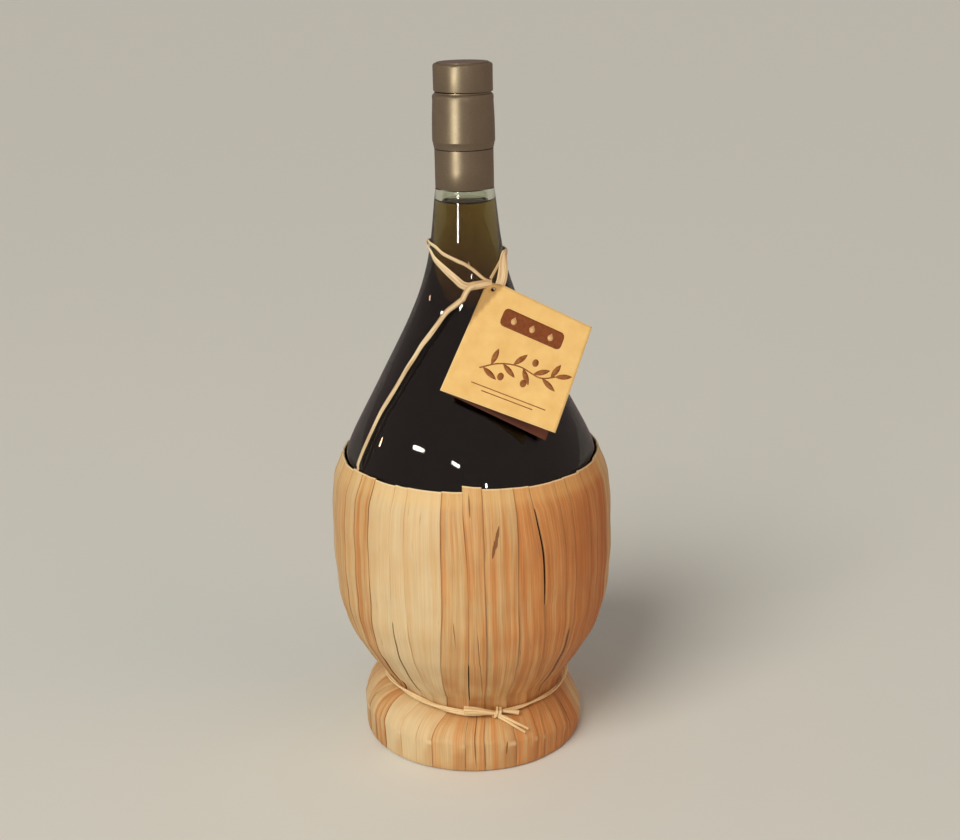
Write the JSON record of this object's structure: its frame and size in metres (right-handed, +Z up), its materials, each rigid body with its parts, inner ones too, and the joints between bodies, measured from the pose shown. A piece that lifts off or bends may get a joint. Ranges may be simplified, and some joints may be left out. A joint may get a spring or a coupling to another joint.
{
  "type": "olive oil bottle",
  "caption": "Round glass flask of olive oil in a reed-strip basket with a flared foot, bronze screw cap, raffia neck tie and a folded card tag.",
  "frame": {"origin": "middle of the foot, on the surface that the flask stands on", "axes": "+Z up along the bottle, front (card side) towards -Y, +X to the right seen from the front"},
  "size_m": [0.1478, 0.1478, 0.3548],
  "materials": {
    "flask_glass": "clear olive-green bottle glass, polished, with faint vertical flow lines",
    "olive_oil": "liquid olive oil, yellow-brown where thin and near black where deep",
    "cap_bronze": "satin bronze lacquer on drawn aluminium",
    "packed_straw": "rough packed straw rope, dull",
    "reed_strip": "dried reed strips, pale straw to orange-brown, satin, with fine lengthwise grain",
    "cord_fibre": "twisted flat plant-fibre cord, satin",
    "raffia": "cream raffia, lengthwise fibres, slightly glossy",
    "kraft_card": "pale kraft card, matte, with a plain printed design in brown"
  },
  "bodies": {
    "root": {"glass_flask": "flask_glass", "oil": "olive_oil", "cap_top": "cap_bronze", "cap_barrel": "cap_bronze", "cap_sleeve": "cap_bronze", "foot_ring": "packed_straw", "strip_01": "reed_strip", "strip_02": "reed_strip", "strip_03": "reed_strip", "strip_04": "reed_strip", "strip_05": "reed_strip", "strip_06": "reed_strip", "strip_07": "reed_strip", "strip_08": "reed_strip", "strip_09": "reed_strip", "strip_10": "reed_strip", "strip_11": "reed_strip", "strip_12": "reed_strip", "strip_13": "reed_strip", "strip_14": "reed_strip", "strip_15": "reed_strip", "strip_16": "reed_strip", "strip_17": "reed_strip", "strip_18": "reed_strip", "strip_19": "reed_strip", "strip_20": "reed_strip", "strip_21": "reed_strip", "strip_22": "reed_strip", "strip_23": "reed_strip", "strip_24": "reed_strip", "strip_25": "reed_strip", "strip_26": "reed_strip", "strip_27": "reed_strip", "strip_28": "reed_strip", "strip_29": "reed_strip", "strip_30": "reed_strip", "strip_31": "reed_strip", "strip_32": "reed_strip", "strip_33": "reed_strip", "strip_34": "reed_strip", "strip_35": "reed_strip", "waist_cord": "cord_fibre", "neck_tie": "raffia", "raffia_tail": "raffia", "tag": "kraft_card"}
  },
  "joints": []
}
